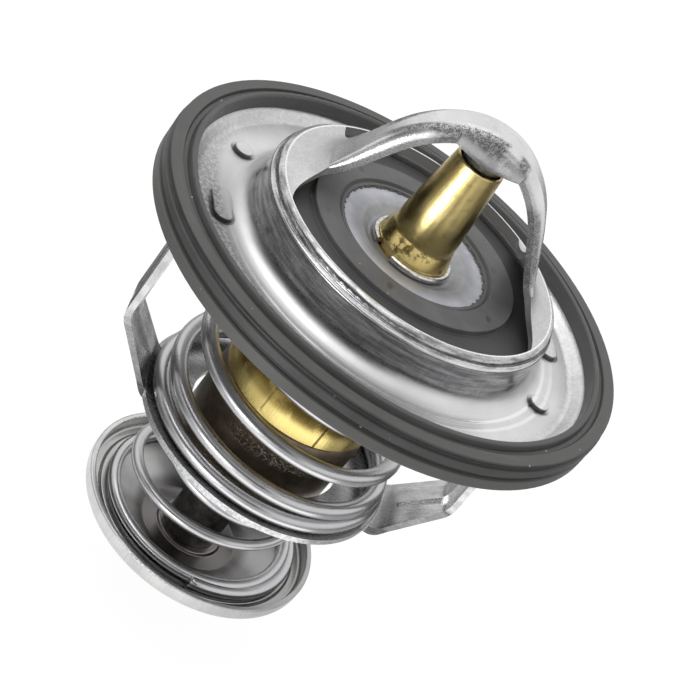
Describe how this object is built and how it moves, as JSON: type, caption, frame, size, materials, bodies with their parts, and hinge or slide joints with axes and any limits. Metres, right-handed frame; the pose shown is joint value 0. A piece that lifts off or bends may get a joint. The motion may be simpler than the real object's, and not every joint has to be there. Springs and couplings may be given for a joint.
{
  "type": "engine coolant control valve",
  "caption": "Wax element coolant valve with a rubber rimmed flange, arched bridge, coil spring in a lower frame and a sprung bypass disc.",
  "frame": {"origin": "on the axis of the element, level with the upper face of the flange", "axes": "+Z along the axis of the element towards the bridge; X through both feet of the bridge"},
  "size_m": [0.067, 0.067, 0.0801],
  "materials": {
    "seat_steel": "satin",
    "frame_steel": "satin",
    "valve_steel": "satin",
    "spring_steel": "polished",
    "pin_steel": "polished",
    "seal_rubber": "satin",
    "valve_rubber": "satin",
    "boot_rubber": "satin",
    "guide_brass": "satin",
    "cup_brass": "satin",
    "wax": "satin",
    "chafe_plastic": "satin"
  },
  "bodies": {
    "housing": {"seat_body": "seat_steel", "rim_seal": "seal_rubber", "lower_frame": "frame_steel", "piston_pin": "pin_steel", "main_spring": "spring_steel"},
    "element": {"element_guide": "guide_brass", "guide_seal": "boot_rubber", "chafe_washer": "chafe_plastic", "rubber_boot": "boot_rubber", "wax_charge": "wax", "wax_cup": "cup_brass", "valve_plate": "valve_steel", "valve_rubber": "valve_rubber", "snap_ring": "spring_steel", "spring_seat": "valve_steel", "bypass_spring": "spring_steel", "bypass_stem": "cup_brass", "stem_clip": "spring_steel"},
    "bypass": {"bypass_disc": "frame_steel"}
  },
  "joints": [
    {"name": "valve_lift", "type": "slide", "parent": "housing", "child": "element", "axis": [0, 0, -1], "range_m": [0, 0.008], "stiffness_N_per_m": 3800, "springref_m": -0.012, "deforming": ["main_spring"]},
    {"name": "bypass_slide", "type": "slide", "parent": "element", "child": "bypass", "axis": [0, 0, 1], "range_m": [0, 0.005], "stiffness_N_per_m": 800, "springref_m": -0.008, "deforming": ["bypass_spring"]}
  ]
}
